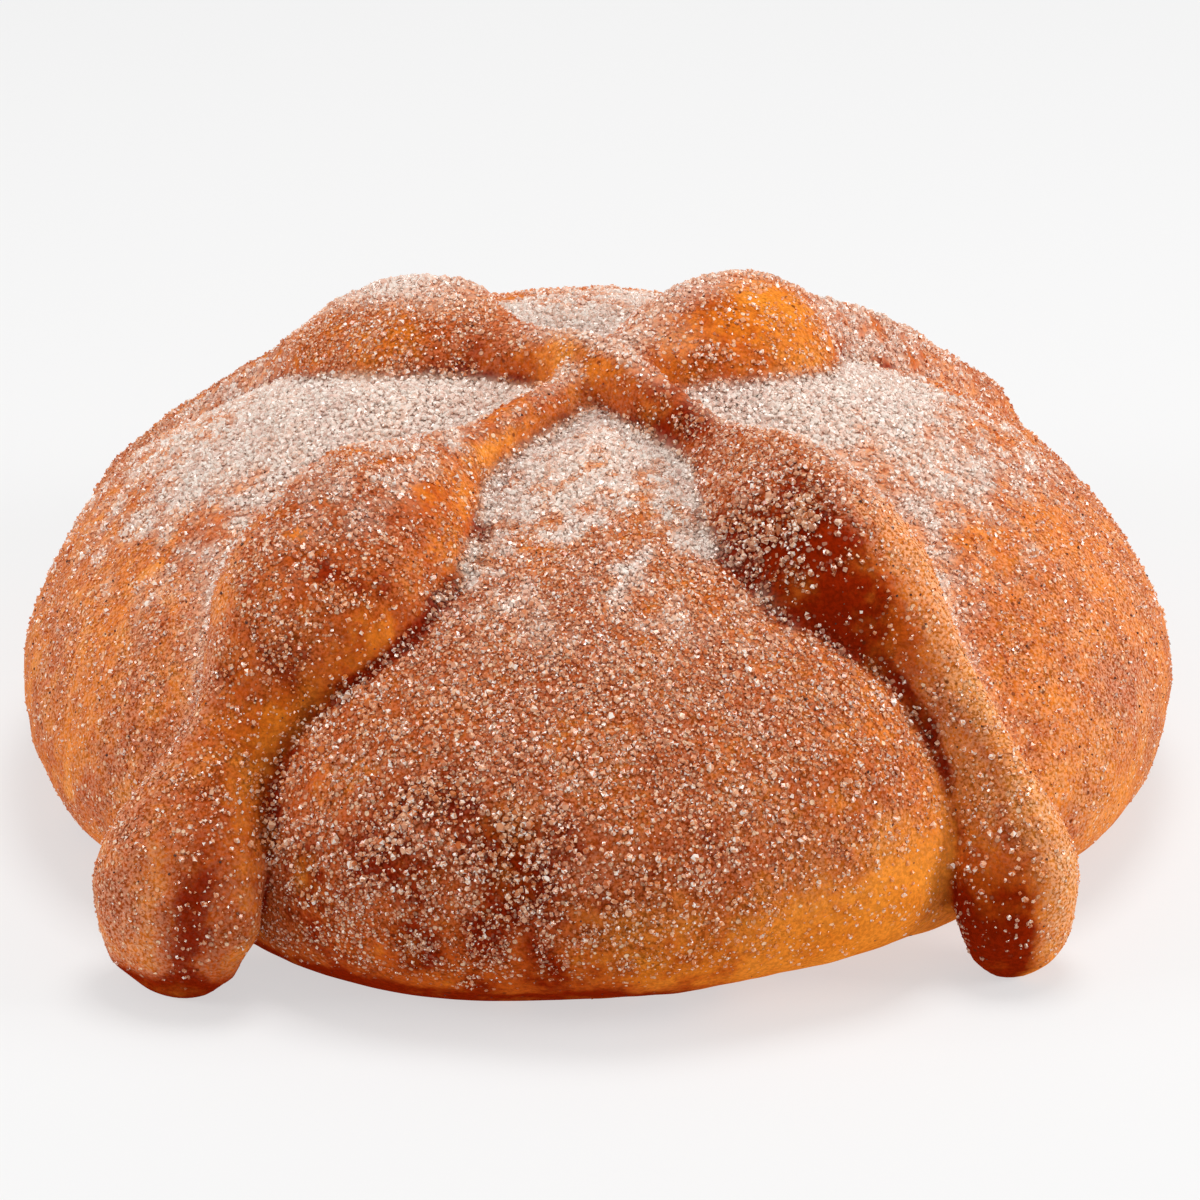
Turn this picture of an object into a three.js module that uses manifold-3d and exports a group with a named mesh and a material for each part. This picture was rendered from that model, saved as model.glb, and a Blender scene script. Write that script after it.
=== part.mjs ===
// Pan de muerto: a round sweet bun, with two strips of its dough rolled like bones, laid crosswise
// over its top and hanging down its sides to the table.
//
// Millimetres, +Z up. The origin is on the table under the middle of the bun, and the front
// faces -Y. Azimuths are in degrees, from +X towards +Y, seen from above.

import * as THREE from "three";
import { mergeVertices } from "three/addons/utils/BufferGeometryUtils.js";
import Module from "manifold-3d";

const wasm = await Module();
wasm.setup();

// ---- Driving dimensions ----

// The bun
const BUN_RADIUS = 58.6; // at the belly, its widest level
const BELLY_HEIGHT = 12.4;
const CROWN_HEIGHT = 44.5; // that the dough would reach with no strips pressed into it
const CROWN_POWERS = { out: 2.29, up: 1.74 }; // of the side above the belly: 2 and 2 is an ellipse
const SKIRT_POWERS = { out: 1.9, up: 2.3 }; // and below it
const FOOT_RADIUS = 40; // of the flat underside, where it is narrowest
const FOOT_LOBES = [ // where it spreads further
  { azimuth: 246, width: 32, reach: 9.5 },
  { azimuth: 345, width: 28, reach: 10 },
  { azimuth: 190, width: 32, reach: 7 },
  { azimuth: 95, width: 35, reach: 6 },
];
const PETALS = { count: 4, swell: 0.4 }; // the belly bulges a little between the strips
const LUMPS = { count: 3, swell: 0.25, turn: 115 }; // and no baker gets it quite round
const VALLEY_DEPTH = 3; // how far a strip presses into the dough
const VALLEY_WIDTH = 9; // from its middle line to where the dough has mostly swelled up again

// The strips. Each arm runs from the crossing down to the table: a thin shaft, a fat knuckle, a
// neck and a knob that stands out past the bun. Half widths and rises add up along it. Places and
// lengths along an arm are shares of its length, 0 at the crossing and 1 at the table.
const FRONT_LEFT = {
  azimuth: 229.5,
  shaft: { half: 2.6, rise: 4 },
  knuckle: { at: 0.46, length: 0.17, half: 7.9, rise: 5.2, forward: 1.2 },
  neck: { half: 1.8, rise: 1.5 },
  knob: { at: 0.92, length: 0.15, half: 5, rise: 2, reach: 6 },
};
const FRONT_RIGHT = {
  azimuth: 313,
  shaft: { half: 2.6, rise: 4 },
  knuckle: { at: 0.41, length: 0.155, half: 5.9, rise: 5, forward: 3.4 },
  neck: { half: 0.5, rise: 1 },
  knob: { at: 0.94, length: 0.14, half: 3.9, rise: 1.8, reach: 3.5 },
};
const BACK_RIGHT = {
  azimuth: 44,
  shaft: { half: 2.6, rise: 4 },
  knuckle: { at: 0.205, length: 0.14, half: 7, rise: 3.9, forward: 3 },
  neck: { half: 2, rise: 1.5 },
  knob: { at: 0.82, length: 0.14, half: 2, rise: 3.2, reach: 2.5 },
};
const BACK_LEFT = {
  azimuth: 143.5,
  shaft: { half: 2.6, rise: 4 },
  knuckle: { at: 0.295, length: 0.14, half: 6.8, rise: 4.3, forward: 0.5 },
  neck: { half: 2, rise: -0.2 },
  knob: { at: 0.92, length: 0.15, half: 3.5, rise: 3.3, reach: 6.5 },
};
const REACH_FROM = 0.62; // an arm comes away from the bun between these shares of its length
const REACH_TO = 0.95;
const SINK = 0.6; // how deep a strip lies in the bun, as a share of its rise
const LEAN = 0.3; // how far its crest leans to the back, as a share of its half width
const STEEP_SIDE = 0.9; // the curve of its front side, which overhangs the bun
const SOFT_SIDE = 1.7; // and of its back side, which flows into the bun
const TIP = 0.16; // the share of an arm's length over which its end is rounded off
const TIP_END = 0.17; // how much of its size is left at the very end
const END_DROP = 0.6; // how far below the table an arm would end, were it not pressed flat there
const OVERPASS = { rise: 2.6, width: 0.12 }; // the upper strip's hump over the lower one
const SEAT_GAP = 0.3; // between a strip and what it lies on

// How finely the surfaces are divided
const BUN_SEGMENTS = 72; // around
const BUN_RINGS = 26; // from the crown to the foot
const STRIP_SECTIONS = 56; // from end to end
const SECTION_SIDES = 16; // around a strip

const RAD = Math.PI / 180;
const { lerp, smoothstep, euclideanModulo } = THREE.MathUtils;
const bell = (x, width) => Math.exp(-((x / width) ** 2));
const flatBell = (x, width) => Math.exp(-(Math.abs(x / width) ** 3));
const turnBetween = (a, b) => euclideanModulo(a - b + 180, 360) - 180;

// ---- The bun ----

// The bun's side in section, from the crown (t = 0) past the belly to the foot (t = 1):
// x is the distance out and y the height.
class BunSide extends THREE.Curve {
  constructor(footRadius) {
    super();
    this.footRadius = footRadius;
  }

  getPoint(t, target = new THREE.Vector2()) {
    const angle = Math.abs(1 - 2 * t) * 90 * RAD;
    const out = Math.max(Math.cos(angle), 0);
    const up = Math.sin(angle);
    if (t < 0.5) {
      return target.set(
        BUN_RADIUS * out ** (2 / CROWN_POWERS.out),
        lerp(BELLY_HEIGHT, CROWN_HEIGHT, up ** (2 / CROWN_POWERS.up)),
      );
    }
    return target.set(
      lerp(this.footRadius, BUN_RADIUS, out ** (2 / SKIRT_POWERS.out)),
      BELLY_HEIGHT * (1 - up ** (2 / SKIRT_POWERS.up)),
    );
  }
}

// A point at a distance out and a height, in the upright plane at an azimuth.
function around(azimuth, side) {
  return new THREE.Vector3(Math.cos(azimuth * RAD) * side.x, Math.sin(azimuth * RAD) * side.x, side.y);
}

// The way out of the dough: from the middle of the belly above it, and level below.
function outward(point) {
  const height = Math.max(point.z - BELLY_HEIGHT, 0);
  return new THREE.Vector3(point.x, point.y, height).normalize();
}

// How far a point lies from the middle line of the nearest arm, seen from above.
function distanceToArms(azimuth, out) {
  const arms = [FRONT_LEFT, FRONT_RIGHT, BACK_RIGHT, BACK_LEFT];
  return Math.min(...arms.map((arm) => {
    const turn = turnBetween(azimuth, arm.azimuth) * RAD;
    return Math.cos(turn) > 0 ? out * Math.abs(Math.sin(turn)) : out;
  }));
}

function footRadius(azimuth) {
  const spread = FOOT_LOBES.map((lobe) => lobe.reach * bell(turnBetween(azimuth, lobe.azimuth), lobe.width));
  return FOOT_RADIUS + Math.max(...spread);
}

function bunPoint(azimuth, side) {
  const petal = PETALS.swell * Math.cos(PETALS.count * azimuth * RAD);
  const lump = LUMPS.swell * Math.sin((LUMPS.count * azimuth + LUMPS.turn) * RAD);
  const valley = VALLEY_DEPTH * bell(distanceToArms(azimuth, side.x), VALLEY_WIDTH);
  const swell = (petal + lump) * smoothstep(side.x, 0, BUN_RADIUS) - valley;
  const point = around(azimuth, side);
  return point.addScaledVector(outward(point), swell * smoothstep(side.y, 0, BELLY_HEIGHT));
}

// A closed mesh from rings of points, which turn anticlockwise as seen from the last one, with a
// point at either end.
function closeRings(first, rings, last) {
  const count = rings[0].length;
  const points = [first, ...rings.flat(), last];
  const at = (ring, i) => 1 + ring * count + (i % count);
  const faces = [];
  for (let i = 0; i < count; i++) {
    faces.push(0, at(0, i + 1), at(0, i));
    for (let ring = 0; ring < rings.length - 1; ring++) {
      faces.push(at(ring, i), at(ring, i + 1), at(ring + 1, i + 1));
      faces.push(at(ring, i), at(ring + 1, i + 1), at(ring + 1, i));
    }
    faces.push(at(rings.length - 1, i), at(rings.length - 1, i + 1), points.length - 1);
  }
  const geometry = new THREE.BufferGeometry();
  geometry.setFromPoints(points);
  geometry.setIndex(faces);
  return geometry;
}

function bunGeometry() {
  const columns = Array.from({ length: BUN_SEGMENTS }, (_, i) => {
    const azimuth = (360 * i) / BUN_SEGMENTS;
    const side = new BunSide(footRadius(azimuth)).getSpacedPoints(BUN_RINGS);
    return side.map((point) => bunPoint(azimuth, point));
  });
  const rings = [];
  for (let ring = BUN_RINGS; ring > 0; ring--) {
    rings.push(columns.map((column) => column[ring]));
  }
  return closeRings(new THREE.Vector3(0, 0, 0), rings, columns[0][0]);
}

// ---- The strips ----

// The line that every arm follows in section: along the floor of its valley from the crown to
// the belly, and straight down from there.
class ArmLine extends THREE.Curve {
  getPoint(t, target = new THREE.Vector2()) {
    const side = new BunSide(FOOT_RADIUS).getPoint(Math.min(t, 0.5));
    const pressed = outward(around(0, side)).multiplyScalar(VALLEY_DEPTH);
    const drop = Math.max(2 * t - 1, 0);
    return target.set(side.x - pressed.x, lerp(side.y - pressed.z, -END_DROP, drop));
  }
}
const armLine = new ArmLine();

// An arm's half width, its rise over its line, and how far it lies forward of that line.
function armSize(arm, share) {
  const knuckle = flatBell(share - arm.knuckle.at, arm.knuckle.length);
  const knob = flatBell(share - arm.knob.at, arm.knob.length);
  const neck = smoothstep(share, 0, 2 * arm.knuckle.at);
  const intoTip = Math.min(Math.max(share - (1 - TIP), 0) / TIP, 1);
  const tip = Math.max(Math.sqrt(1 - intoTip ** 2), TIP_END);
  const size = (key) =>
    tip * (arm.shaft[key] + arm.neck[key] * neck + arm.knuckle[key] * knuckle + arm.knob[key] * knob);
  return { half: size("half"), rise: size("rise"), forward: arm.knuckle.forward * knuckle };
}

// A strip's way runs from -1, at the foot of its left arm, over the crossing at 0, to 1 at the
// foot of its right arm.
function stripPoint(strip, way) {
  const arm = way < 0 ? strip.left : strip.right;
  const side = armLine.getPointAt(Math.abs(way));
  side.x += arm.knob.reach * smoothstep(Math.abs(way), REACH_FROM, REACH_TO);
  const point = around(arm.azimuth, side);
  return point.addScaledVector(outward(point), strip.overpass * bell(way, OVERPASS.width));
}

function stripRing(strip, way, grow) {
  const step = 1 / STRIP_SECTIONS;
  const middle = stripPoint(strip, way);
  const before = stripPoint(strip, Math.max(way - step, -1));
  const ahead = stripPoint(strip, Math.min(way + step, 1)).sub(before);
  const front = new THREE.Vector3().crossVectors(ahead, outward(middle)).normalize();
  const up = new THREE.Vector3().crossVectors(front, ahead).normalize();
  const size = armSize(way < 0 ? strip.left : strip.right, Math.abs(way));
  return Array.from({ length: SECTION_SIDES }, (_, i) => {
    const angle = (2 * Math.PI * i) / SECTION_SIDES;
    const across = Math.cos(angle);
    const height = Math.sin(angle);
    const above = Math.max(height, 0);
    const below = Math.min(height, 0);
    const rise = size.rise * (above ** (across > 0 ? STEEP_SIDE : SOFT_SIDE) + SINK * below);
    const forward = size.forward + size.half * (across - LEAN * above);
    return middle.clone()
      .addScaledVector(front, forward + grow * across)
      .addScaledVector(up, rise + grow * height);
  });
}

function stripGeometry(strip, grow = 0) {
  const rings = [];
  for (let i = 0; i <= STRIP_SECTIONS; i++) {
    const even = lerp(1, -1, i / STRIP_SECTIONS);
    const closerAtEnds = Math.sin(even * 90 * RAD);
    rings.push(stripRing(strip, (even + closerAtEnds) / 2, grow));
  }
  const lower = (point) => point.setZ(point.z - grow);
  return closeRings(lower(stripPoint(strip, 1)), rings, lower(stripPoint(strip, -1)));
}

// ---- Joining and cutting ----

function toSolid(geometry) {
  geometry.deleteAttribute("normal");
  geometry.deleteAttribute("uv");
  const merged = mergeVertices(geometry);
  return new wasm.Manifold(new wasm.Mesh({
    numProp: 3,
    vertProperties: merged.attributes.position.array,
    triVerts: Uint32Array.from(merged.index.array),
  }));
}

function toGeometry(solid) {
  const mesh = solid.getMesh();
  const geometry = new THREE.BufferGeometry();
  geometry.setAttribute("position", new THREE.BufferAttribute(mesh.vertProperties, 3));
  geometry.setIndex(new THREE.BufferAttribute(mesh.triVerts, 1));
  return geometry;
}

// ---- The pan de muerto ----

const lowerStrip = { left: FRONT_LEFT, right: BACK_RIGHT, overpass: 0 };
const upperStrip = { left: BACK_LEFT, right: FRONT_RIGHT, overpass: OVERPASS.rise };

const room = 4 * BUN_RADIUS;
const aboveTable = toSolid(new THREE.BoxGeometry(room, room, room).translate(0, 0, room / 2));

const lowerSeat = toSolid(stripGeometry(lowerStrip, SEAT_GAP));
const upperSeat = toSolid(stripGeometry(upperStrip, SEAT_GAP));
const lower = toSolid(stripGeometry(lowerStrip)).intersect(aboveTable);
const upper = toSolid(stripGeometry(upperStrip)).intersect(aboveTable).subtract(lowerSeat);
const bun = toSolid(bunGeometry()).subtract(lowerSeat).subtract(upperSeat);

const pan = new THREE.Group();
for (const [name, solid, color] of [
  ["bun", bun, 0xc06a2c],
  ["bone_strip_lower", lower, 0xb4571f],
  ["bone_strip_upper", upper, 0xa84c1a],
]) {
  const crust = new THREE.MeshStandardMaterial({ color, roughness: 0.6, metalness: 0 });
  const mesh = new THREE.Mesh(toGeometry(solid), crust);
  mesh.name = name;
  pan.add(mesh);
}

export default pan;
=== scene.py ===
"""Pan de muerto: one baked skin over the bun and its strips, the sugar on it, and the studio."""
import math

import bpy
import numpy as np
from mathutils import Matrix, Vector, noise
from mathutils.bvhtree import BVHTree
from mathutils.kdtree import KDTree


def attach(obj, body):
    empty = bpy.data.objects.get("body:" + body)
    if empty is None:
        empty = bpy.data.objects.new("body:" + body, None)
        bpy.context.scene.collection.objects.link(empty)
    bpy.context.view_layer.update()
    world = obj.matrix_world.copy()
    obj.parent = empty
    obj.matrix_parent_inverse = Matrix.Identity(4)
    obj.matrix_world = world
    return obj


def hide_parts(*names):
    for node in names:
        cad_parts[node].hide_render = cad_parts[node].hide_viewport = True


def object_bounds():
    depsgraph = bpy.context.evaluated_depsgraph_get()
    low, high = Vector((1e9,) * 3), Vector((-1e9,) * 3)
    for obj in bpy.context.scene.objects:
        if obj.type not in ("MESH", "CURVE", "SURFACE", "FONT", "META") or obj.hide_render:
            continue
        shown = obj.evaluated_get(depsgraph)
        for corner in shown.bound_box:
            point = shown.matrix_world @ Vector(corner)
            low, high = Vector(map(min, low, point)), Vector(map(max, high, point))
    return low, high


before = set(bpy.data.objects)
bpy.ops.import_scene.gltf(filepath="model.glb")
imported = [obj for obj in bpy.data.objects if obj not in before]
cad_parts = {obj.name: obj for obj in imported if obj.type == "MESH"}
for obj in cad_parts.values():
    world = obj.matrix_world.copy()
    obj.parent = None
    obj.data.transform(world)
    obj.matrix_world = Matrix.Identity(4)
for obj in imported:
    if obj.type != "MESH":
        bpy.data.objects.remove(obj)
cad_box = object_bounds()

MM = 0.001
rng = np.random.default_rng(11)

# ---- The CAD model's form, in millimetres and degrees, from its own named sizes ----

BUN_RADIUS, BELLY_HEIGHT, CROWN_HEIGHT = 58.6, 12.4, 44.5
CROWN_POWERS, SKIRT_POWERS = (2.29, 1.74), (1.9, 2.3)  # of the side above and below the belly
FOOT_RADIUS = 40.0
FOOT_LOBES = ((246, 32, 9.5), (345, 28, 10), (190, 32, 7), (95, 35, 6))  # azimuth, width, reach
# The belly bulges a little between the strips, and no baker gets it quite round
PETALS, PETAL_SWELL = 4, 0.4
LUMPS, LUMP_SWELL, LUMP_TURN = 3, 0.25, 115
VALLEY_DEPTH, VALLEY_WIDTH = 3.0, 9.0

# An arm's half widths and rises add up along it. Its knuckle has a place and a length, as shares
# of the arm's length, a half width, a rise and how far it leans forward; so has its knob, which
# stands out from the bun by its reach.
FRONT_LEFT = dict(azimuth=229.5, shaft=(2.6, 4), neck=(1.8, 1.5),
                  knuckle=(0.46, 0.17, 7.9, 5.2, 1.2), knob=(0.92, 0.15, 5, 2), reach=6)
FRONT_RIGHT = dict(azimuth=313, shaft=(2.6, 4), neck=(0.5, 1),
                   knuckle=(0.41, 0.155, 5.9, 5, 3.4), knob=(0.94, 0.14, 3.9, 1.8), reach=3.5)
BACK_RIGHT = dict(azimuth=44, shaft=(2.6, 4), neck=(2, 1.5),
                  knuckle=(0.205, 0.14, 7, 3.9, 3), knob=(0.82, 0.14, 2, 3.2), reach=2.5)
BACK_LEFT = dict(azimuth=143.5, shaft=(2.6, 4), neck=(2, -0.2),
                 knuckle=(0.295, 0.14, 6.8, 4.3, 0.5), knob=(0.92, 0.15, 3.5, 3.3), reach=6.5)
ARMS = (FRONT_LEFT, FRONT_RIGHT, BACK_RIGHT, BACK_LEFT)
STRIPS = ((FRONT_LEFT, BACK_RIGHT, 0.0), (BACK_LEFT, FRONT_RIGHT, 2.6))  # with the hump on top
REACH_FROM, REACH_TO = 0.62, 0.95
SINK, LEAN, STEEP_SIDE, SOFT_SIDE = 0.6, 0.3, 0.9, 1.7
TIP, TIP_END, END_DROP = 0.16, 0.17, 0.6
OVERPASS_WIDTH = 0.12
CAD_SECTIONS = 56  # along a strip


def smoothstep(x, lo, hi):
    t = np.clip((x - lo) / (hi - lo), 0, 1)
    return t * t * (3 - 2 * t)


def bell(x, width):
    return np.exp(-((x / width) ** 2))


def flat_bell(x, width):
    return np.exp(-(np.abs(x / width) ** 3))


def turn_between(a, b):
    """From one azimuth to another, from -180 to 180 degrees."""
    return (a - b + 180) % 360 - 180


def around(azimuth, out, height):
    """Points by their azimuth, distance from the middle and height."""
    a = np.radians(azimuth)
    return np.stack(np.broadcast_arrays(np.cos(a) * out, np.sin(a) * out, height), axis=-1)


def unit(v):
    return v / np.maximum(np.linalg.norm(v, axis=-1, keepdims=True), 1e-9)


def outward(points):
    """Directions away from the bun's heart, level below the belly."""
    raised = points.copy()
    raised[..., 2] = np.maximum(points[..., 2] - BELLY_HEIGHT, 0)
    return unit(raised)


def bun_side(t, foot):
    """The bun's profile, from the crown at 0 over the belly at 0.5 to the foot at 1."""
    angle = np.abs(1 - 2 * t) * math.pi / 2
    out, up = np.maximum(np.cos(angle), 0), np.sin(angle)
    crown, skirt = CROWN_HEIGHT - BELLY_HEIGHT, BUN_RADIUS - foot
    x = np.where(t < 0.5, BUN_RADIUS * out ** (2 / CROWN_POWERS[0]),
                 foot + skirt * out ** (2 / SKIRT_POWERS[0]))
    y = np.where(t < 0.5, BELLY_HEIGHT + crown * up ** (2 / CROWN_POWERS[1]),
                 BELLY_HEIGHT * (1 - up ** (2 / SKIRT_POWERS[1])))
    return x, y


def distance_to_arms(azimuth, out):
    gaps = []
    for arm in ARMS:
        turn = np.radians(turn_between(azimuth, arm["azimuth"]))
        gaps.append(np.where(np.cos(turn) > 0, out * np.abs(np.sin(turn)), out))
    return np.min(gaps, axis=0)


def bun_rings(segments, rings):
    """The bun's levels from the foot up, with the valleys under the strips."""
    azimuth = np.arange(segments) * 360 / segments
    spread = [reach * bell(turn_between(azimuth, at), width) for at, width, reach in FOOT_LOBES]
    foot = FOOT_RADIUS + np.max(spread, axis=0)
    t = np.linspace(1, 0, rings, endpoint=False)[:, None]
    out, height = bun_side(t, foot[None, :])
    a = np.radians(azimuth)[None, :]
    uneven = PETAL_SWELL * np.cos(PETALS * a)
    uneven = uneven + LUMP_SWELL * np.sin(LUMPS * a + np.radians(LUMP_TURN))
    valley = VALLEY_DEPTH * bell(distance_to_arms(azimuth[None, :], out), VALLEY_WIDTH)
    swell = uneven * smoothstep(out, 0, BUN_RADIUS) - valley
    points = around(azimuth[None, :], out, height)
    return points + outward(points) * (swell * smoothstep(height, 0, BELLY_HEIGHT))[..., None]


def arm_path(steps=4001):
    """The line that every arm follows: shares of its length, how far out and how high."""
    t = np.linspace(0, 1, steps)
    out, height = bun_side(np.minimum(t, 0.5), FOOT_RADIUS)
    pressed = outward(around(0, out, height)) * VALLEY_DEPTH
    drop = np.maximum(2 * t - 1, 0)
    out = out - pressed[:, 0]
    height = (height - pressed[:, 2]) * (1 - drop) - END_DROP * drop
    length = np.concatenate(([0], np.cumsum(np.hypot(np.diff(out), np.diff(height)))))
    return length / length[-1], out, height


PATH_SHARE, PATH_OUT, PATH_HEIGHT = arm_path()


def strip_points(strip, way):
    """A strip's middle line, from the end of its left arm at -1 to that of its right arm at 1."""
    left, right, overpass = strip
    share = np.abs(way)
    azimuth = np.where(way < 0, left["azimuth"], right["azimuth"])
    reach = np.where(way < 0, left["reach"], right["reach"])
    out = np.interp(share, PATH_SHARE, PATH_OUT) + reach * smoothstep(share, REACH_FROM, REACH_TO)
    points = around(azimuth, out, np.interp(share, PATH_SHARE, PATH_HEIGHT))
    return points + outward(points) * (overpass * bell(way, OVERPASS_WIDTH))[:, None]


def arm_size(arm, share):
    """An arm's half width, its rise, and how far forward it lies, at a share of its length."""
    at, length, half, rise, forward = arm["knuckle"]
    knuckle = flat_bell(share - at, length)
    knob_at, knob_length, knob_half, knob_rise = arm["knob"]
    knob = flat_bell(share - knob_at, knob_length)
    neck = smoothstep(share, 0, 2 * at)
    into_tip = np.clip((share - (1 - TIP)) / TIP, 0, 1)
    tip = np.maximum(np.sqrt(1 - into_tip ** 2), TIP_END)
    return (tip * (arm["shaft"][0] + arm["neck"][0] * neck + half * knuckle + knob_half * knob),
            tip * (arm["shaft"][1] + arm["neck"][1] * neck + rise * knuckle + knob_rise * knob),
            forward * knuckle)


def directions(strip, way, middle):
    """Along a strip and to its front side, at points of its middle line."""
    step = 1 / CAD_SECTIONS
    ahead = strip_points(strip, np.minimum(way + step, 1))
    ahead = ahead - strip_points(strip, np.maximum(way - step, -1))
    return ahead, unit(np.cross(ahead, outward(middle)))


def strip_rings(strip, way, sides):
    """A strip's sections."""
    left, right, _ = strip
    middle = strip_points(strip, way)
    ahead, front = directions(strip, way, middle)
    up = unit(np.cross(front, ahead))
    sizes = zip(arm_size(left, np.abs(way)), arm_size(right, np.abs(way)))
    half, rise, forward = (np.where(way < 0, a, b)[:, None] for a, b in sizes)
    angle = 2 * math.pi * np.arange(sides)[None, :] / sides
    across, height = np.cos(angle), np.sin(angle)
    above, below = np.maximum(height, 0), np.minimum(height, 0)
    lift = rise * (above ** np.where(across > 0, STEEP_SIDE, SOFT_SIDE) + SINK * below)
    aside = forward + half * (across - LEAN * above)
    return middle[:, None] + front[:, None] * aside[..., None] + up[:, None] * lift[..., None]


def loft(first, rings, last):
    """A closed surface from one point over rings of points to another: its points and faces."""
    count, sides = rings.shape[:2]
    points = np.concatenate(([first], rings.reshape(-1, 3), [last]))
    i = np.arange(sides)
    j = (i + 1) % sides
    faces = [(0, 1 + b, 1 + a) for a, b in zip(i, j)]
    for ring in range(count - 1):
        low, high = 1 + ring * sides, 1 + (ring + 1) * sides
        faces += list(zip(low + i, low + j, high + j, high + i))
    low = 1 + (count - 1) * sides
    faces += [(low + a, low + b, len(points) - 1) for a, b in zip(i, j)]
    return points, [tuple(int(v) for v in face) for face in faces]


# ---- The skin: the three solids baked into one ----

BUN_SEGMENTS, BUN_LEVELS = 300, 120
STRIP_SECTIONS, STRIP_SIDES = 300, 48
VOXEL = 0.62
# How often the skin is relaxed: to clean it, for the soft seams, and to find creases and hollows
CLEAN_STEPS, SEAM_STEPS, CREASE_STEPS, HOLLOW_STEPS = 3, 90, 14, 60
INSIDE_BOX = 0.02  # that the skin keeps from the solids' box


def new_object(name, points, faces):
    """An object from points in millimetres and faces: a list, or an array if all are alike."""
    mesh = bpy.data.meshes.new(name)
    if isinstance(faces, list):
        mesh.from_pydata(points * MM, [], faces)
    else:
        corners = faces.shape[1]
        mesh.vertices.add(len(points))
        mesh.vertices.foreach_set("co", (points * MM).astype(np.float32).ravel())
        mesh.loops.add(faces.size)
        mesh.loops.foreach_set("vertex_index", faces.astype(np.int32).ravel())
        mesh.polygons.add(len(faces))
        starts = np.arange(0, faces.size, corners, dtype=np.int32)
        mesh.polygons.foreach_set("loop_start", starts)
        mesh.update(calc_edges=True)
    obj = bpy.data.objects.new(name, mesh)
    bpy.context.scene.collection.objects.link(obj)
    return obj


crown = (0, 0, CROWN_HEIGHT - VALLEY_DEPTH)
lofts = [loft((0, 0, 0), bun_rings(BUN_SEGMENTS, BUN_LEVELS), crown)]
even = np.linspace(1, -1, STRIP_SECTIONS)
sections = (even + np.sin(even * math.pi / 2)) / 2  # closer together at the ends
for strip in STRIPS:
    first, last = strip_points(strip, np.array([1.0, -1.0]))
    lofts.append(loft(first, strip_rings(strip, sections, STRIP_SIDES), last))

all_faces, start = [], 0
for points, faces in lofts:
    all_faces += [tuple(v + start for v in face) for face in faces]
    start += len(points)
source = new_object("source", np.concatenate([points for points, _ in lofts]), all_faces)
remesh = source.modifiers.new("skin", "REMESH")
remesh.mode = "VOXEL"
remesh.voxel_size = VOXEL * MM
evaluated = source.evaluated_get(bpy.context.evaluated_depsgraph_get())
skin_mesh = bpy.data.meshes.new_from_object(evaluated)
bpy.data.objects.remove(source)

COUNT = len(skin_mesh.vertices)
co = np.empty(COUNT * 3)
skin_mesh.vertices.foreach_get("co", co)
co = co.reshape(-1, 3) / MM
edges = np.empty(len(skin_mesh.edges) * 2, dtype=np.int32)
skin_mesh.edges.foreach_get("vertices", edges)
edges = edges.reshape(-1, 2)
degree = np.bincount(edges.ravel(), minlength=COUNT)
quads = np.array([p.vertices[:] for p in skin_mesh.polygons if len(p.vertices) == 4])


def neighbour_mean(values):
    a, b = edges.T
    columns = values.reshape(COUNT, -1).T
    total = [np.bincount(a, c[b], COUNT) + np.bincount(b, c[a], COUNT) for c in columns]
    return (np.stack(total, axis=-1) / degree[:, None]).reshape(values.shape)


def relax(values, steps, weight=0.5):
    """Values at the skin's points, smoothed along its edges."""
    weight = np.broadcast_to(weight, COUNT).reshape((COUNT,) + (1,) * (values.ndim - 1))
    for _ in range(steps):
        values = values + weight * (neighbour_mean(values) - values)
    return values


def vertex_normals(points):
    corner = points[quads]
    face = np.cross(corner[:, 2] - corner[:, 0], corner[:, 3] - corner[:, 1])
    total = np.zeros((COUNT, 3))
    for k in range(4):
        for axis in range(3):
            total[:, axis] += np.bincount(quads[:, k], face[:, axis], COUNT)
    return unit(total)


def field(points, size, seed):
    """Smooth noise from about -1 to 1, with lumps of that size in millimetres."""
    shift = Vector((seed * 17.3, seed * -9.1, seed * 5.7))
    return np.array([noise.noise(Vector(p) / size + shift) for p in points]) * 1.6


co = relax(co, CLEAN_STEPS)

# Where each point of the skin lies on the bun and on the strips
bun_tree, *strip_trees = [BVHTree.FromPolygons([tuple(p) for p in points], faces)
                          for points, faces in lofts]
over_bun = np.empty(COUNT)
strip_gap = np.empty((COUNT, 2))
for i, p in enumerate(co):
    point = Vector(p)
    hit, normal, _, gap = bun_tree.find_nearest(point)
    over_bun[i] = gap if (point - hit).dot(normal) > 0 else -gap
    strip_gap[i] = [tree.find_nearest(point)[3] for tree in strip_trees]

SPINE_STEPS = 400  # along each arm
which = np.argmin(strip_gap, axis=1)
gap_to_strip = strip_gap.min(axis=1)
way = np.empty(COUNT)
aside = np.empty(COUNT)
for s, strip in enumerate(STRIPS):
    spine = strip_points(strip, np.linspace(-1, 1, 2 * SPINE_STEPS + 1))
    tree = KDTree(len(spine))
    for k, p in enumerate(spine):
        tree.insert(p, k)
    tree.balance()
    mine = np.nonzero(which == s)[0]
    near = np.array([tree.find(co[i])[1] for i in mine])
    way[mine] = near / SPINE_STEPS - 1
    _, front = directions(strip, way[mine], spine[near])
    aside[mine] = np.sum((co[mine] - spine[near]) * front, axis=1)

FL, FR, BR, BL = range(4)  # front left and so on, as in ARMS
share = np.abs(way)
arm = np.where(which == 0, np.where(way < 0, FL, BR), np.where(way < 0, BL, FR))
half = np.choose(arm, [arm_size(a, share)[0] for a in ARMS])
across = aside / half  # 1 on a strip's front side, -1 on its back side
on_strip = smoothstep(over_bun, 0.15, 0.9) * smoothstep(gap_to_strip, 1.2, 0.4)
on_strip = relax(on_strip, 2)

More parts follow.
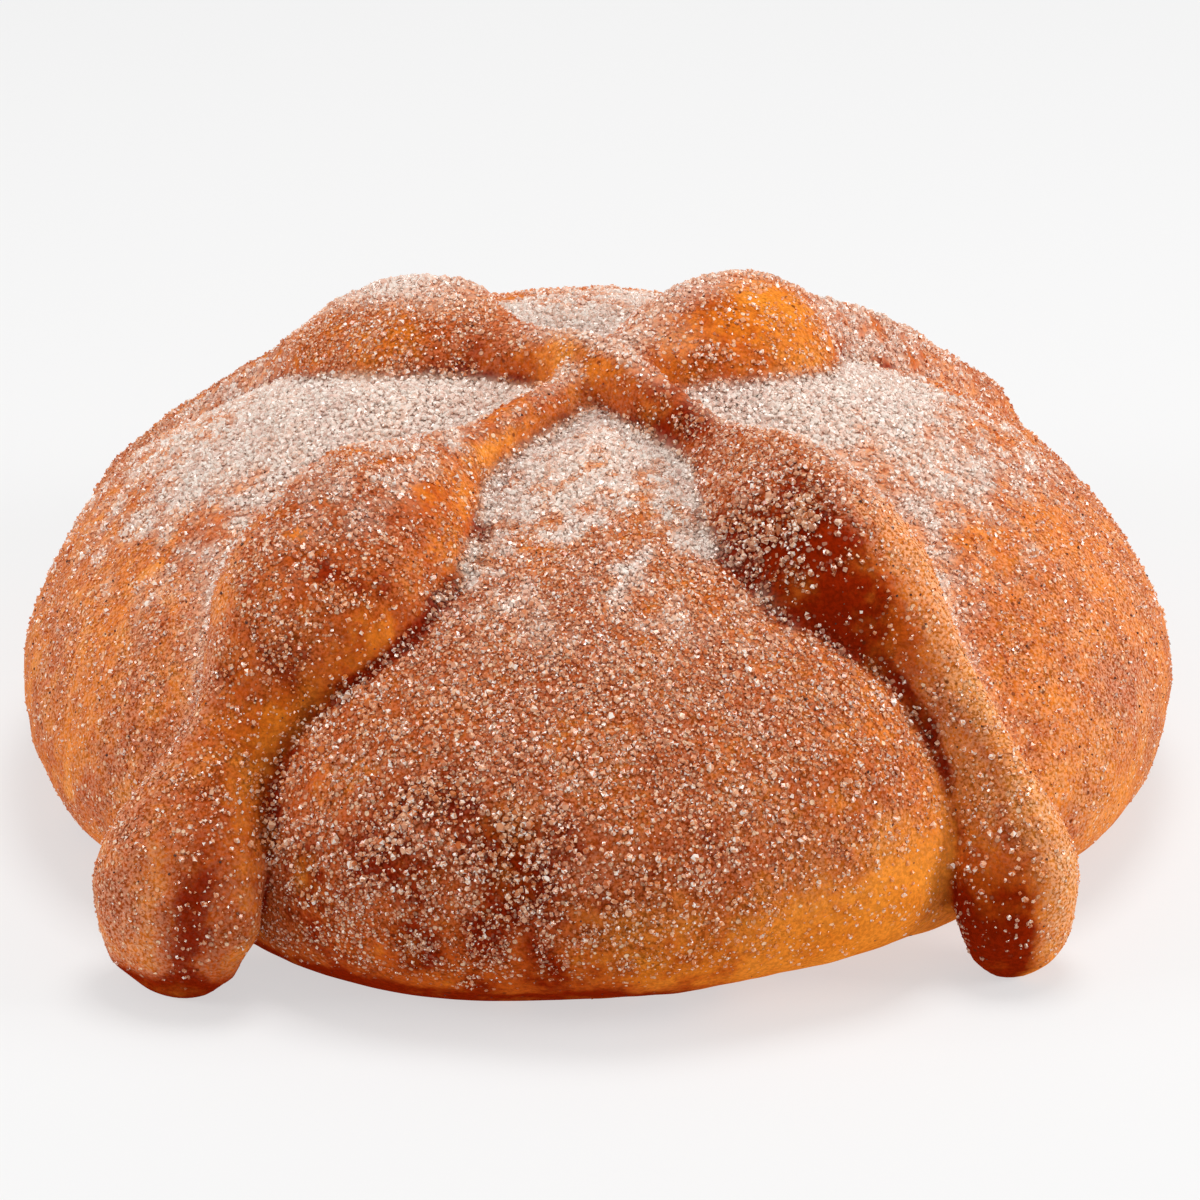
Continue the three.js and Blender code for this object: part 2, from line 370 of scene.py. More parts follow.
# The back sides run softly into the bun, and the front sides stay undercut
seam = smoothstep(gap_to_strip, 5.5, 1.5) * smoothstep(np.abs(over_bun), 5.0, 1.5)
soft = seam * smoothstep(across, 0.25, -0.25) * smoothstep(share, 1.0, 0.85)
co = relax(co, SEAM_STEPS, 0.6 * relax(soft, 6))
normals = vertex_normals(co)

# Lumps and shallow folds, no further out than the solids reach
height = 0.34 * field(co, 15, 1) + 0.16 * field(co, 6, 2) + 0.07 * field(co, 2.6, 3)
ridge = 1 - np.abs(field(co * (1, 1, 0.6), 5.5, 4))
height += on_strip * (0.22 * ridge + 0.12 * field(co, 3.4, 5)) - 0.25
edge = smoothstep(co[:, 2], 0.2, 3)
co = co + normals * (height * edge)[:, None]
low, high = (np.array(corner) / MM for corner in cad_box)
co = np.clip(co, low + INSIDE_BOX, high - INSIDE_BOX)
normals = vertex_normals(co)

# How deep each point lies in a narrow crease, and in a broader hollow
smoothed = relax(co, CREASE_STEPS)
cavity = np.sum((smoothed - co) * normals, axis=1)
hollow = np.sum((relax(smoothed, HOLLOW_STEPS) - co) * normals, axis=1)

# ---- What the baking did, with painted shade and painted sheen, from 0 to 1 at each point ----

# The patches below follow the photo. Their numbers are strengths from 0 to 1, shares of an arm's
# length, parts of its half width, heights and radii in millimetres, and azimuths in degrees.
x, y, z = co.T
radius = np.hypot(x, y)
azimuth = np.degrees(np.arctan2(y, x)) % 360  # 270 at the front
facing_up = normals[:, 2]

# Unevenness of four sizes
lumps = field(co, 9, 6)
patches = field(co, 5, 7)
spots = field(co, 3.2, 9)
clumps = field(co, 1.9, 10)

# Where an arm's front side meets the bun: the crease, painted dark below as shade
crease = bell(gap_to_strip, 0.5) * bell(over_bun, 0.65)
crease = crease * smoothstep(across, 0.3, 0.8) * smoothstep(share, 0.12, 0.3)

WHOLE = 1.3  # an arm's half width and a little of the bun beside it
FADE_OUT, FADE_IN = 0.35, 0.1


def by_arm(index, start, middle, end, aside_from=-WHOLE, aside_to=WHOLE):
    """A patch over an arm and the bun beside it, full at one place between its two ends."""
    along = smoothstep(share, start, middle) * smoothstep(share, end, middle)
    over = smoothstep(across, aside_from - FADE_OUT, aside_from + FADE_IN)
    over = over * smoothstep(across, aside_to + FADE_OUT, aside_to - FADE_IN)
    return (arm == index) * along * over


def on_arm(*patch):
    """A patch on an arm alone."""
    return by_arm(*patch) * on_strip


def on_arms(*rows):
    """The sum of patches on the arms, each given as its strength and its place."""
    return sum(strength * on_arm(*patch) for strength, *patch in rows)


def petal(at, width):
    """The part of the bun round an azimuth, without the strips."""
    return bell(turn_between(azimuth, at), width) * (1 - on_strip)


# How brown the crust is, with painted shade in its creases and hollows
brown_and_shade = 0.30 + 0.10 * lumps + on_strip * (0.10 + 0.12 * patches + 0.06 * spots)
# The front petal: darkest low down and at its foot, and golden at its lower right
brown_and_shade += (0.42 + 0.25 * patches) * petal(257, 26) * smoothstep(z, 26, 12) * smoothstep(z, 1.0, 4.0)
shoulder = smoothstep(z, 12, 20) * smoothstep(radius, 24, 36)
brown_and_shade += (0.16 + 0.2 * patches) * petal(262, 34) * shoulder
brown_and_shade += (0.16 * spots + 0.12 * lumps) * petal(270, 60) * smoothstep(z, 22, 8)
brown_and_shade += 0.08 * petal(254, 24) * smoothstep(z, 34, 24) * smoothstep(z, 8, 18)
brown_and_shade += 0.75 * smoothstep(z, 5.5, 1.5) * smoothstep(y, 5, -30) * smoothstep(x, 30, 0)
brown_and_shade -= 0.30 * petal(294, 18) * smoothstep(z, 20, 10)
# The left petal's middle
brown_and_shade += 0.10 * petal(205, 35) * smoothstep(radius, 52, 42)
# The arms
brown_and_shade += on_arms(
    (0.12, FL, 0.3, 0.5, 0.7, -0.2, 0.5),  # the left knuckle, and lighter below it
    (-0.12, FL, 0.5, 0.58, 0.66, -0.3, 0.5),
    (0.50, FL, 0.70, 0.88, 1.05, 0.5, 0.65),  # the groove down the left knob
    (0.35, FR, 0.02, 0.14, 0.32, -0.6, 1.0),
    (0.45, FR, 0.27, 0.42, 0.64, 0.45, 1.3),  # the dark flank of the right knuckle
    (0.40, FR, 0.42, 0.51, 0.62, 0.75, 1.2),
    (-0.25, FR, 0.34, 0.5, 0.95, -0.6, 0.35),
    (0.60, FR, 0.76, 0.92, 1.2, 0.35, 1.3),  # the right knob
    (0.15, BL, 0.02, 0.12, 0.3, 0.4, 1.3),
    (-0.12, BR, 0.02, 0.09, 0.18, -0.2, 1.3),
)
brown_and_shade += (0.12 + 0.10 * spots) * on_arm(FL, 0.35, 0.55, 0.75, -0.2, 0.75)
brown_and_shade -= 0.45 * by_arm(FR, 0.4, 0.6, 1.1, -1.1, -0.25)
brown_and_shade -= 0.35 * by_arm(FR, 0.6, 0.74, 0.92, 0.8, 1.5)
# Painted shade: darker in the creases and hollows
brown_and_shade += 0.7 * crease
brown_and_shade += 0.75 * smoothstep(cavity, 0.10, 0.30) * smoothstep(share, 0.02, 0.09)
brown_and_shade += 0.10 * smoothstep(hollow, 0.5, 1.5) * smoothstep(across, 0.3, 1.0)

# Where the crust stayed golden
pale = 0.14 + 0.22 * patches
pale += on_arms(
    (0.50, FL, 0.0, 0.20, 0.42, 0.6, 1.4),
    (0.32, FL, 0.3, 0.6, 0.95, 0.92, 1.6),
    (0.55, BR, 0.12, 0.23, 0.36, 0.2, 1.4),  # the back right knuckle
    (0.30, FR, 0.5, 0.72, 1.0, -0.5, 0.4),
    (0.40, FR, 0.74, 0.9, 1.3, -WHOLE, 0.2),
    (0.6, BL, 0.0, 0.03, 0.09, 0.0, 1.4),
)
pale += 0.6 * by_arm(FL, -0.08, 0.01, 0.10) + 0.35 * by_arm(FR, 0.35, 0.58, 1.0, -1.1, -0.1)
pale += 0.45 * petal(298, 20) * smoothstep(z, 24, 12)
pale += 0.30 * petal(340, 30) * smoothstep(z, 30, 12)
pale += 0.42 * petal(200, 35) * smoothstep(spots, 0.15, 0.6)

# The finest sugar, like dust, and painted sheen: most at the sides, and none on the darkest crust
# or low in front
dust_and_sheen = 0.20 + 0.12 * lumps
# Painted sheen: more at the left and right sides, standing in for the sheen of dusty crust seen at
# a glancing angle
dust_and_sheen += 0.40 * smoothstep(np.abs(x), 28, 52) + 0.10 * smoothstep(radius, 44, 57)
dust_and_sheen += on_arms(
    (-0.2, BR, 0.0, 0.12, 0.3, 0.0, 1.3),
    (0.20, FL, 0.8, 0.95, 1.2, -WHOLE, 0.2),
    (0.7, FR, 0.34, 0.46, 0.8, -0.6, 0.4),
    (-0.35, FR, 0.35, 0.5, 0.65, 0.4, 1.3),
    (0.30, FR, 0.76, 0.9, 1.3, -WHOLE, 0.1),
    (-0.5, FR, 0.72, 0.9, 1.3, 0.3, 1.3),
)
dust_and_sheen += 0.35 * by_arm(FR, 0.4, 0.6, 1.2, -1.1, -0.2)
dust_and_sheen += 0.40 * by_arm(FL, 0.4, 0.62, 0.9, -1.6, -0.35)
dust_and_sheen -= 0.3 * petal(298, 16) * smoothstep(z, 20, 10)
dust_and_sheen -= 0.12 * petal(190, 40) * smoothstep(radius, 35, 50)
dust_and_sheen *= smoothstep(z, 0.5, 6) * (1 - 0.9 * petal(270, 50) * smoothstep(z, 20, 8))
dust_and_sheen *= smoothstep(brown_and_shade, 1.0, 0.5)
dust_and_sheen += 0.06 * petal(268, 40) * smoothstep(radius, 57, 44)
dust_and_sheen -= on_arms((0.1, FL, 0.25, 0.45, 0.6, -0.2, 0.5), (0.3, FL, 0.5, 0.7, 0.9, -0.3, 1.2))

# Sugar was strewn from above: it lies thick out to a limit in millimetres from the middle, and
# slid into the valleys
limit = 38 - 14 * bell(turn_between(azimuth, 270), 38) - 10 * bell(turn_between(azimuth, 95), 35)
limit = limit + 3 * bell(turn_between(azimuth, 200), 25) + 9 * bell(turn_between(azimuth, 165), 22)
on_bun = 1 - on_strip
uneven = clumps + 0.5 * patches
valley = smoothstep(gap_to_strip, 4.0, 0.8) * smoothstep(across, 0.0, -0.6)
valley = valley * smoothstep(share, 0.8, 0.45)
pile = on_bun * smoothstep(limit + 5 * lumps + 4 * patches + 7 * clumps - radius, -9, 8)
pile += 0.9 * petal(268, 34) * smoothstep(radius, 48, 33) * smoothstep(uneven, -0.1, 0.8)
pile *= 1 - 0.5 * petal(268, 34) * smoothstep(uneven, 0.1, -0.8)
pile *= smoothstep(facing_up, 0.45, 0.8)
pile += 0.75 * on_bun * valley
pile += on_arms(
    (0.9, BL, 0.12, 0.3, 0.52, -WHOLE, 0.1),
    (0.5, BR, 0.0, 0.16, 0.45, -WHOLE, 0.0),
    (0.9, FR, 0.1, 0.3, 0.5, -WHOLE, -0.15),
)
pile += 0.7 * on_arm(BR, 0.26, 0.42, 0.85) * smoothstep(clumps, -0.8, 0.4)
pile += 0.8 * on_arm(BL, 0.36, 0.58, 0.8, 0.45, 1.4) * smoothstep(clumps, -0.9, 0.3)
pile += 0.75 * on_arm(FL, 0.08, 0.30, 0.58, -WHOLE, 0.35) * smoothstep(clumps, -0.5, 0.6)
pile += 0.6 * on_strip * smoothstep(share, 0.14, 0.03) * smoothstep(facing_up, 0.7, 0.95)
pile = np.clip(pile, 0, 1)

# The thinner layer round it
strewn = 0.04 + 0.03 * lumps
strewn += 0.60 * petal(272, 36) * smoothstep(radius, 60, 38)
strewn += 0.30 * petal(258, 30) * smoothstep(z, 1.5, 6)
strewn += 0.10 * smoothstep(facing_up, 0.2, 0.9) + 0.10 * on_strip * smoothstep(patches, -0.2, 0.6)
strewn += on_arms(
    (0.60, FR, 0.12, 0.32, 0.5, 0.1, 1.3),
    (0.30, BL, 0.1, 0.28, 0.5, 0.0, 0.9),
    (0.30, FL, 0.2, 0.38, 0.6, -0.5, 0.2),
    (0.12, FL, 0.3, 0.5, 0.8, -0.2, 0.75),
)
strewn *= (1 + 0.7 * field(co, 2.4, 8)) * (1 + 0.55 * clumps)
strewn *= 1 - 0.65 * on_arm(FR, 0.42, 0.5, 0.62, 0.3, 1.3)
strewn *= 1 - 0.45 * petal(298, 18) * smoothstep(z, 24, 12)
strewn *= 1 - 0.25 * petal(256, 28) * smoothstep(z, 30, 22) * smoothstep(spots, 0.5, -0.3)

# Where the larger crystals stuck
beside = smoothstep(gap_to_strip, 6.0, 1.0) * smoothstep(across, 0.6, 1.1)
beside = beside * smoothstep(share, 0.75, 0.6)
crystals = 0.75 * petal(256, 24) * smoothstep(z, 34, 24)
crystals += 0.25 * petal(285, 40) * smoothstep(z, 24, 12)
crystals += 0.60 * on_bun * beside + 0.55 * on_strip * smoothstep(z, 14, 4)
crystals += on_arms((1.8, FR, 0.22, 0.38, 0.52, 0.35, 1.3), (0.30, FR, 0.55, 0.7, 0.95, 0.4, 1.0))

# The creases stay free, and nothing sticks underneath
free = 1 - 0.7 * crease * (arm != FL)
settled = smoothstep(z, 0.8, 3.0) * smoothstep(facing_up, -0.7, -0.1)
crystals = np.clip(crystals * smoothstep(spots, -0.7, 0.5) * free, 0, 2) * settled
strewn = np.clip(strewn, 0.01, 1) * settled * free

# A heap of sugar takes up room, so the crust under it lies lower
HEAP_DEPTH = 0.3
co = co - normals * (HEAP_DEPTH * relax(pile, 4))[:, None]

skin = bpy.data.objects.new("crust", skin_mesh)
bpy.context.scene.collection.objects.link(skin)
skin_mesh.name = "crust"
skin_mesh.vertices.foreach_set("co", (co * MM).astype(np.float32).ravel())
skin_mesh.update()
skin_mesh.shade_smooth()
masks = (("brown_and_shade", brown_and_shade), ("pale", pale), ("dust_and_sheen", dust_and_sheen), ("pile", pile), ("strewn", strewn))
for name, values in masks:
    layer = skin_mesh.attributes.new(name, "FLOAT", "POINT")
    layer.data.foreach_set("value", np.clip(relax(values, 2), 0, 1).astype(np.float32))

# ---- Sugar and spice ----

tris = np.concatenate((quads[:, [0, 1, 2]], quads[:, [0, 2, 3]]))
corner = co[tris]
ab, ac = corner[:, 1] - corner[:, 0], corner[:, 2] - corner[:, 0]
area = np.linalg.norm(np.cross(ab, ac), axis=1) / 2


def places(count, density):
    """Corners and their shares for points on the skin, drawn by a density at the vertices."""
    weight = np.cumsum(area * np.clip(density, 0, None)[tris].mean(axis=1))
    pick = np.searchsorted(weight, rng.random(count) * weight[-1])
    a, b = rng.random((2, count))
    flip = a + b > 1
    a, b = np.where(flip, 1 - a, a), np.where(flip, 1 - b, b)
    return tris[pick], np.stack((1 - a - b, a, b), axis=1)


def turns(count):
    """Random rotations."""
    q = unit(rng.normal(size=(count, 4)))
    w, i, j, k = q.T
    return np.stack((
        np.stack((1 - 2 * (j * j + k * k), 2 * (i * j - k * w), 2 * (i * k + j * w)), axis=-1),
        np.stack((2 * (i * j + k * w), 1 - 2 * (i * i + k * k), 2 * (j * k - i * w)), axis=-1),
        np.stack((2 * (i * k - j * w), 2 * (j * k + i * w), 1 - 2 * (i * i + j * j)), axis=-1),
    ), axis=1)


def hull(points):
    """The outer triangles of a few points, facing out."""
    faces = []
    count = len(points)
    for a in range(count):
        for b in range(a + 1, count):
            for c in range(b + 1, count):
                normal = np.cross(points[b] - points[a], points[c] - points[a])
                side = (points - points[a]) @ normal
                if np.all(side < 1e-9):
                    faces.append((a, b, c))
                elif np.all(side > -1e-9):
                    faces.append((a, c, b))
    return faces


# The grains' shapes, each about 1 across: corners and triangles
BOX = np.array([(a, b, c) for a in (-1, 1) for b in (-1, 1) for c in (-1, 1)]) * 0.5
BOX_FACES = np.array([(0, 1, 3), (0, 3, 2), (4, 6, 7), (4, 7, 5), (0, 4, 5), (0, 5, 1),
                      (2, 3, 7), (2, 7, 6), (0, 2, 6), (0, 6, 4), (1, 5, 7), (1, 7, 3)])
WEDGE = np.array([(a, b, c) for c in (-0.5, 0.5)
                  for a, b in ((-0.55, -0.4), (0.55, -0.4), (0, 0.6))])
WEDGE_FACES = np.array([(0, 2, 1), (3, 4, 5), (0, 1, 4), (0, 4, 3),
                        (1, 2, 5), (1, 5, 4), (2, 0, 3), (2, 3, 5)])
EIGHT = np.array([(1, 0, 0), (-1, 0, 0), (0, 1, 0), (0, -1, 0), (0, 0, 1), (0, 0, -1)]) * 0.62
EIGHT_FACES = np.array([(0, 2, 4), (2, 1, 4), (1, 3, 4), (3, 0, 4),
                        (2, 0, 5), (1, 2, 5), (3, 1, 5), (0, 3, 5)])
# A cube with its corners cut off, unevenly so that every face is a triangle of its hull
CUT = np.array([(a, b, 0) for a in (-1, 1) for b in (-1, 1)]
               + [(a, 0, b) for a in (-1, 1) for b in (-1, 1)]
               + [(0, a, b) for a in (-1, 1) for b in (-1, 1)], dtype=float) * 0.5
CUT = CUT * (1, 1.03, 0.97) + 0.06 * np.sin(np.arange(36).reshape(12, 3) * 2.4)
CUT_FACES = np.array(hull(CUT))

STEEP_SIZE = 0.7  # a grain on a steep side, as a share of one on top
STANDS_OUT = 0.12  # of its size, on top; on a steep side it sinks in as much
JAGGED = 0.10  # how far a grain's corners are off
OFF_THE_TABLE = 0.05


def grains(name, count, shape, faces, density, smallest, largest, stack):
    """Grains of one kind as one mesh: uneven copies of a shape, strewn by a density."""
    corners, mix = places(count, density)

    def here(values):
        return np.einsum("nk,nk...->n...", mix, values[corners])

    spot, normal, heap = here(co), unit(here(normals)), here(pile)
    flat = smoothstep(normal[:, 2], -0.1, 0.5)
    size = smallest + (largest - smallest) * rng.random(count) ** 1.5
    size = size * (STEEP_SIZE + (1 - STEEP_SIZE) * flat)
    broad, thick = 0.75 + 0.25 * rng.random(count), 0.6 + 0.35 * rng.random(count)
    stretch = np.stack((np.ones(count), broad, thick), axis=1)
    local = shape[None] * (stretch * size[:, None])[:, None]
    local = local * (1 + JAGGED * rng.normal(size=local.shape))
    lift = size * STANDS_OUT * (2 * flat - 1) + stack * heap * rng.random(count)
    points = np.einsum("nij,nvj->nvi", turns(count), local)
    points = points + (spot + normal * lift[:, None])[:, None]
    points[..., 2] = np.maximum(points[..., 2], OFF_THE_TABLE)
    index = faces[None] + (np.arange(count) * len(shape))[:, None, None]
    obj = new_object(name, points.reshape(-1, 3), index.reshape(-1, 3))
    obj.data.shade_flat()
    tone = rng.random(count)
    kept = (("tone", tone), ("brown_and_shade", here(brown_and_shade)), ("pale", here(pale)), ("pile", heap))
    for key, values in kept:
        layer = obj.data.attributes.new(key, "FLOAT", "POINT")
        at_corners = np.repeat(np.clip(values, 0, 1), len(shape))
        layer.data.foreach_set("value", at_corners.astype(np.float32))
    # A clear grain shows the crust under it, with painted glints: some of its facets are painted
    # nearly white, as if they caught the light
    milky = (0.02 + 0.4 * rng.random(count) ** 3 + 0.6 * heap)[:, None]
    # Painted glints: a few facets of each grain nearly white
    milky = milky + 1.2 * rng.random((count, len(faces))) ** 4
    layer = obj.data.attributes.new("milky", "FLOAT", "FACE")
    layer.data.foreach_set("value", np.clip(milky, 0, 1).astype(np.float32).ravel())
    return obj


# Each kind: how many grains, their shape and where they lie, the smallest and the largest in
# millimetres, and how high they stack in a heap
sugar = [
    grains("sugar_coarse", 900, CUT, CUT_FACES,
           0.3 * pile + 0.3 * strewn + 0.8 * crystals, 0.56, 0.78, 0.2),
    grains("sugar_large", 9900, CUT, CUT_FACES,
           pile + 0.25 * strewn + 0.7 * crystals, 0.44, 0.62, 0.22),
    grains("sugar_medium", 16000, BOX, BOX_FACES,
           pile + 0.6 * strewn + 0.3 * crystals, 0.34, 0.46, 0.2),
    grains("sugar_small", 24500, WEDGE, WEDGE_FACES,
           0.7 * pile + strewn + 0.01 * settled, 0.26, 0.38, 0.2),
    grains("sugar_grit", 22000, WEDGE, WEDGE_FACES,
           0.3 * pile + strewn + 0.01 * settled, 0.22, 0.34, 0.15),
    grains("sugar_fine", 24000, EIGHT, EIGHT_FACES,
           0.15 * pile + 0.7 * strewn + 0.15 * dust_and_sheen * settled, 0.14, 0.25, 0.1),
]
spice = grains("spice_specks", 1600, EIGHT, EIGHT_FACES,
               (0.3 + 0.7 * dust_and_sheen) * (1 - pile) * smoothstep(z, 0.6, 2), 0.16, 0.34, 0.0)

# ---- Materials ----

# The crust's colours by how much it baked and by painted shade in its creases, then of its pale
# patches and the painted shade in its pores
GOLDEN, BROWNED, DARKEST = (0.70, 0.178, 0.014), (0.47, 0.075, 0.006), (0.23, 0.013, 0.001)
PALE_CRUST, PORE_SHADE = (0.84, 0.27, 0.030), (0.10, 0.018, 0.006)
SUGAR_WHITE = (0.84, 0.74, 0.66)
THIN_SUGAR = (0.97, 0.69, 0.46)  # a thin layer, with the crust shining through it
DUST = (0.95, 0.635, 0.45)
SPICE_DARK, SPICE_LIGHT = (0.045, 0.012, 0.006), (0.16, 0.045, 0.02)


class Nodes:
    """A material's nodes: every input is a number, a colour or another node's output."""

    def __init__(self, name):
        self.material = bpy.data.materials.new(name)
        self.material.use_nodes = True
        self.tree = self.material.node_tree
        self.shader = self.tree.nodes["Principled BSDF"]

    def set(self, node, inputs):
        for key, value in inputs.items():
            if isinstance(value, bpy.types.NodeSocket):
                self.tree.links.new(value, node.inputs[key])
            else:
                node.inputs[key].default_value = value

    def add(self, kind, inputs=None, **settings):
        node = self.tree.nodes.new(kind)
        for key, value in settings.items():
            setattr(node, key, value)
        self.set(node, inputs or {})
        return node

    def math(self, operation, a, b=0.0, c=0.0):
        return self.add("ShaderNodeMath", {0: a, 1: b, 2: c}, operation=operation).outputs[0]

    def sum(self, a, b):
        return self.math("ADD", a, b)

    def product(self, a, b):
        return self.math("MULTIPLY", a, b)

    def range(self, value, lo, hi, to_lo=0.0, to_hi=1.0):
        inputs = {"Value": value, "From Min": lo, "From Max": hi, "To Min": to_lo, "To Max": to_hi}
        return self.add("ShaderNodeMapRange", inputs, interpolation_type="SMOOTHSTEP").outputs[0]

    def attribute(self, name):
        return self.add("ShaderNodeAttribute", attribute_name=name).outputs["Fac"]

    def place(self, shift):
        where = self.add("ShaderNodeTexCoord").outputs["Object"]
        moved = self.add("ShaderNodeMapping", {"Vector": where, "Location": (shift, shift, shift)})
        return moved.outputs[0]

    def noise(self, size, detail=2.0, roughness=0.5, shift=0.0):
        """Noise with features of that size in millimetres."""
        inputs = {"Vector": self.place(shift), "Scale": 1000 / size,
                  "Detail": detail, "Roughness": roughness}
        return self.add("ShaderNodeTexNoise", inputs).outputs["Fac"]

    def cells(self, size, shift=0.0):
        """Voronoi cells of that size in millimetres."""
        return self.add("ShaderNodeTexVoronoi", {"Vector": self.place(shift), "Scale": 1000 / size})

    def crystals(self, size, cover, shift):
        """Crystals of that size: where one in so many cells holds one, and how light each is."""
        cells = self.cells(size, shift)
        draw = self.add("ShaderNodeSeparateColor", {0: cells.outputs["Color"]})
        chosen = self.math("LESS_THAN", draw.outputs[0], cover)
        inside = self.range(cells.outputs["Distance"], 0.62, 0.42)
        return self.product(chosen, inside), draw.outputs[1]

    def mix(self, factor, a, b, blend="MIX"):
        node = self.add("ShaderNodeMix", data_type="RGBA", blend_type=blend)
        for key, value in ((0, factor), (6, a), (7, b)):
            self.set(node, {key: value if not isinstance(value, tuple) else (*value, 1.0)})
        return node.outputs[2]

    def darken(self, colour, factor):
        grey = self.add("ShaderNodeCombineColor", {0: factor, 1: factor, 2: factor}).outputs[0]
        return self.mix(1.0, colour, grey, "MULTIPLY")


def crust_colour(n, baked, light):
    # How baked it is also holds painted shade in the creases and hollows, which goes toward DARKEST
    colour = n.mix(n.range(baked, 0.0, 0.5), GOLDEN, BROWNED)
    colour = n.mix(n.range(baked, 0.5, 1.0), colour, DARKEST)
    return n.mix(light, colour, PALE_CRUST)


def crust_material():
    n = Nodes("crust")
    # How baked it is holds painted shade from the creases and hollows; the dust mask holds painted
    # sheen at the sides
    baked, light, dust_and_sheen_mask = n.attribute("brown_and_shade"), n.attribute("pale"), n.attribute("dust_and_sheen")
    heaped, sown = n.attribute("pile"), n.attribute("strewn")
    coarse, mid = n.noise(7, 3), n.noise(1.8, 3, 0.6, 0.1)
    fine, speck = n.noise(0.45, 2, 0.6, 0.2), n.noise(0.3, 1, 0.5, 0.3)

    # The crust, mottled, with painted shade in pits where the sugar lies
    mottle = n.sum(n.math("MULTIPLY_ADD", coarse, 0.6, -0.3),
                   n.math("MULTIPLY_ADD", mid, 0.65, -0.325))
    baked = n.range(n.sum(baked, mottle), 0.0, 1.0)
    light = n.range(n.sum(light, n.product(mottle, -0.8)), 0.15, 1.0)
    cover = n.sum(n.product(sown, 0.8), n.product(dust_and_sheen_mask, 0.10))
    pit_shade = n.product(n.range(speck, 0.35, 0.6, -0.4, 0.0), n.range(cover, 0.02, 0.2))
    grainy = n.sum(n.range(fine, 0.35, 0.65, 0.84, 1.16), pit_shade)
    colour = n.darken(crust_colour(n, baked, light), grainy)

    # Dust with painted sheen, thinner on dark crust, and the ground of the heaps
    thin = n.range(baked, 0.5, 1.0, 1.0, 0.3)
    dust_and_sheen_share = n.product(n.product(dust_and_sheen_mask, n.range(speck, 0.35, 0.65, 0.02, 0.42)), thin)
    colour = n.mix(dust_and_sheen_share, colour, n.mix(heaped, DUST, SUGAR_WHITE))
    white = n.mix(heaped, THIN_SUGAR, SUGAR_WHITE)
    heap = n.product(heaped, n.range(n.noise(0.8, 2, 0.6, 0.4), 0.35, 0.62, 0.5, 0.92))
    colour = n.mix(heap, colour, white)

    # Crystals too fine to be grains of their own
    relief = n.math("MULTIPLY_ADD", fine, 0.5, n.product(mid, 0.9))
    for size, share_of_cover, shift in ((0.5, 0.7, 0.5), (0.3, 1.0, 0.9)):
        present, tone = n.crystals(size, n.product(cover, share_of_cover), shift)
        milky = n.product(present, n.math("MULTIPLY_ADD", n.math("POWER", tone, 2.0), 0.8, 0.05))
        colour = n.mix(n.product(milky, thin), colour, white)
        relief = n.math("MULTIPLY_ADD", present, 1.2 * size, relief)

    # Painted shade: dark dots where the pores are
    pore_shade = n.range(n.cells(2.6).outputs["Distance"], 0.06, 0.11, 0.75, 0.0)
    colour = n.mix(pore_shade, colour, PORE_SHADE)
    bump = n.add("ShaderNodeBump", {"Height": relief, "Strength": 0.8, "Distance": 0.00022})
    n.set(n.shader, {
        "Base Color": colour,
        "Roughness": n.sum(n.range(baked, 0.2, 0.9, 0.62, 0.36), n.product(dust_and_sheen_mask, 0.1)),
        "Specular IOR Level": 0.0,
        "Normal": bump.outputs[0],
    })
    return n.material


def sugar_material():
    n = Nodes("sugar")
    milky = n.attribute("milky")
    # The milky facets include the painted glints, which are painted near white
    whiteness = n.math("MAXIMUM", n.attribute("pile"), n.range(milky, 0.6, 1.0))
    white = n.mix(whiteness, THIN_SUGAR, SUGAR_WHITE)
    colour = n.mix(milky, crust_colour(n, n.attribute("brown_and_shade"), n.attribute("pale")), white)
    n.set(n.shader, {"Base Color": colour, "Roughness": 0.14, "Specular IOR Level": 0.5})
    return n.material


def spice_material():
    n = Nodes("spice")
    colour = n.mix(n.attribute("tone"), SPICE_DARK, SPICE_LIGHT)
    n.set(n.shader, {"Base Color": colour, "Roughness": 0.8})
    return n.material


skin_mesh.materials.clear()
skin_mesh.materials.append(crust_material())
sugar_skin = sugar_material()
for piece in sugar:
    piece.data.materials.append(sugar_skin)
spice.data.materials.append(spice_material())

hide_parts("bun", "bone_strip_lower", "bone_strip_upper")
for piece in [skin, spice] + sugar:
    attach(piece, "root")

# ---- The studio, in metres ----

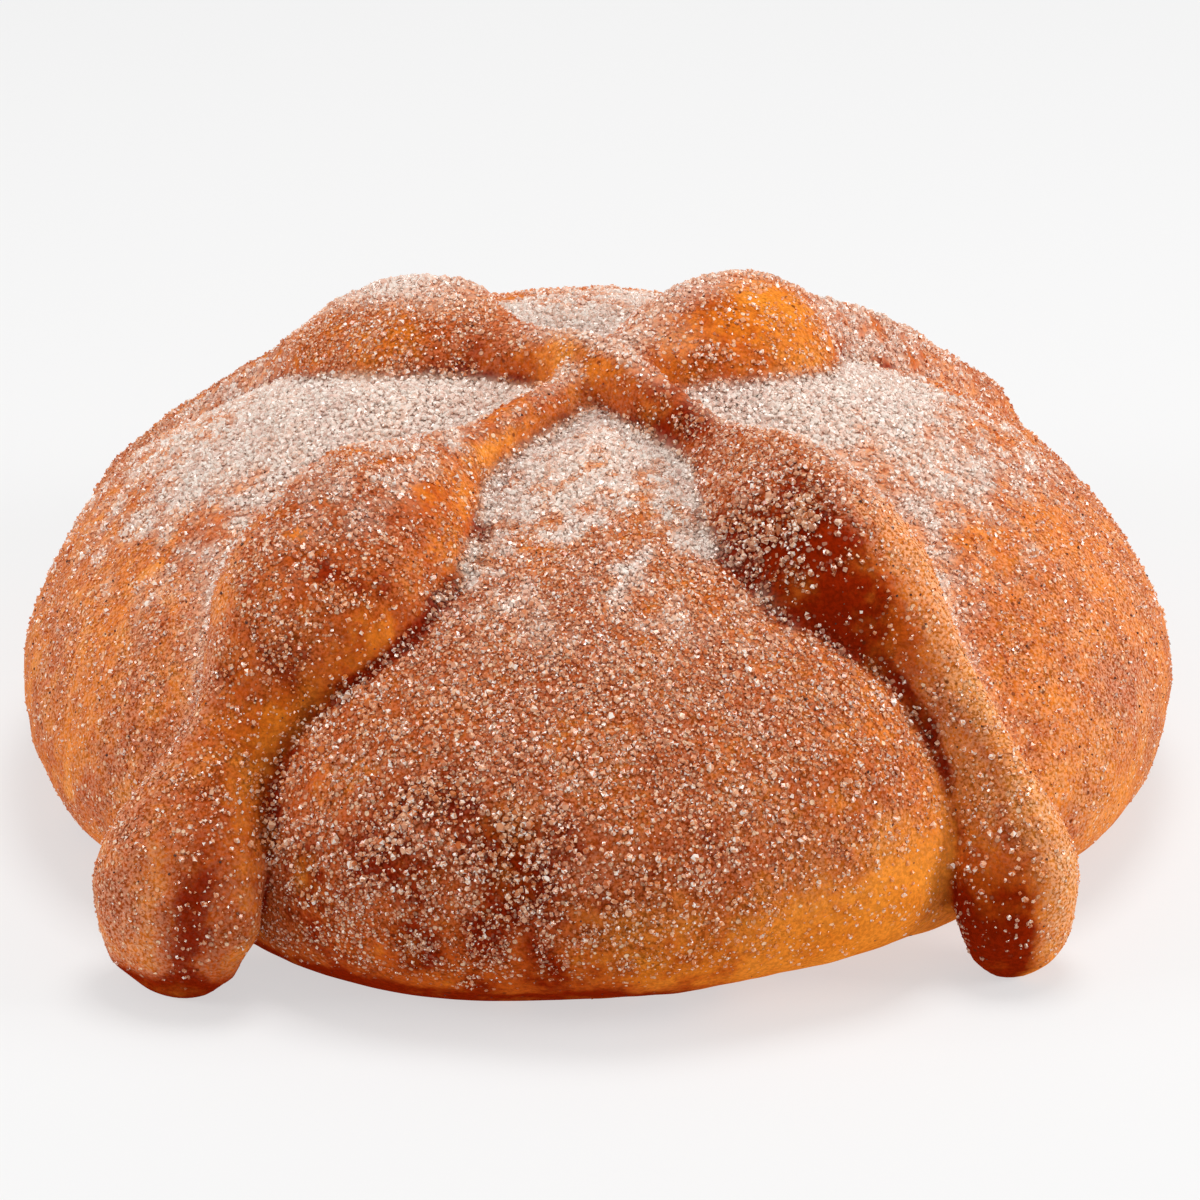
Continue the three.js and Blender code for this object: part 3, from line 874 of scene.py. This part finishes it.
FLOOR_SIZE, FLOOR_GLOW, SKY_GLOW = 3.0, 0.57, 0.42
LOOK_DOWN, LOOK_FROM = math.radians(26), 0.6
LENS, SENSOR = 175.84, 36  # these two in millimetres
SHIFT = (0.00465, -0.008775)
aim = Vector((0, 0, 0.020))

floor_corners = np.array([(-1, -1, 0), (1, -1, 0), (1, 1, 0), (-1, 1, 0)]) * FLOOR_SIZE / 2
floor = new_object("floor", floor_corners / MM, np.array([(0, 1, 2, 3)]))
n = Nodes("floor")
n.set(n.shader, {"Base Color": (0.30, 0.30, 0.30, 1), "Roughness": 0.9, "Specular IOR Level": 0.1,
                 "Emission Color": (1, 1, 1, 1), "Emission Strength": FLOOR_GLOW})
floor.data.materials.append(n.material)

scene = bpy.context.scene
scene.view_settings.view_transform = "Standard"
world = bpy.data.worlds.new("studio")
world.use_nodes = True
world.node_tree.nodes["Background"].inputs["Color"].default_value = (1, 1, 1, 1)
world.node_tree.nodes["Background"].inputs["Strength"].default_value = SKY_GLOW
scene.world = world


def area_light(name, place, size, power):
    """A square light that looks at the bun: its place and size, and its power in watts."""
    light = bpy.data.lights.new(name, "AREA")
    light.shape = "SQUARE"
    light.size = size
    light.energy = power
    obj = bpy.data.objects.new(name, light)
    obj.location = place
    obj.rotation_euler = (aim - Vector(place)).to_track_quat("-Z", "Y").to_euler()
    scene.collection.objects.link(obj)


area_light("top", (0.05, 0.05, 0.60), 0.25, 2.0)
area_light("right", (0.60, -0.10, 0.25), 0.22, 2.15)
area_light("left", (-0.60, -0.15, 0.25), 0.22, 1.6)

ahead = Vector((0, math.cos(LOOK_DOWN), -math.sin(LOOK_DOWN)))
camera_data = bpy.data.cameras.new("camera")
camera_data.sensor_width = SENSOR
camera_data.lens = LENS
camera_data.shift_x, camera_data.shift_y = SHIFT
camera = bpy.data.objects.new("camera", camera_data)
camera.location = aim - ahead * LOOK_FROM
camera.rotation_euler = ahead.to_track_quat("-Z", "Y").to_euler()
scene.collection.objects.link(camera)
scene.camera = camera
